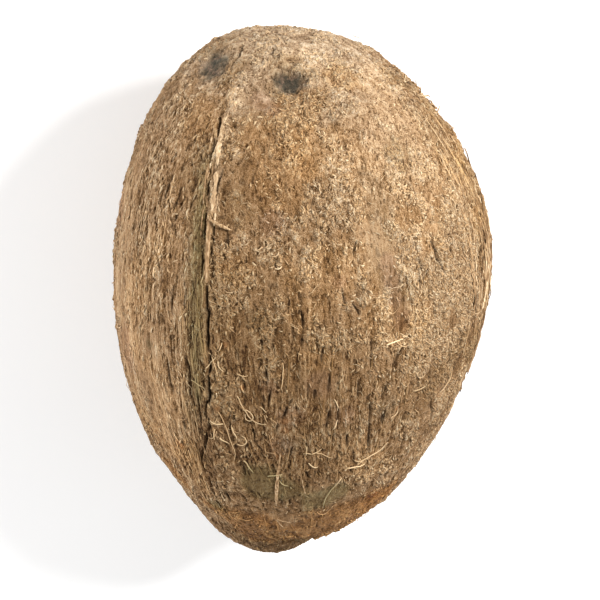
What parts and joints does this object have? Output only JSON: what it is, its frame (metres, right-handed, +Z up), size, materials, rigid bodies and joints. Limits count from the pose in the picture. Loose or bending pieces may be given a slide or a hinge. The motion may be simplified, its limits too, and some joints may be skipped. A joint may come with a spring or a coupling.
{
  "type": "coconut",
  "caption": "Whole ripe coconut with its outer husk stripped off: an egg-shaped fibrous brown nut lying on its side, with three seams, three eyes and a blunt point.",
  "frame": {"origin": "middle of the bounding box's bottom face, on the surface the nut lies on", "axes": "+Z up; +X towards the stem end, where the eyes are; -X towards the blunt point"},
  "size_m": [0.1494, 0.1024, 0.0995],
  "materials": {
    "dry_husk": "matt dry coir: matted tan fibre and pith with dark pits, paler and rougher round the eyes"
  },
  "bodies": {
    "root": {"coconut": "dry_husk"}
  },
  "joints": []
}
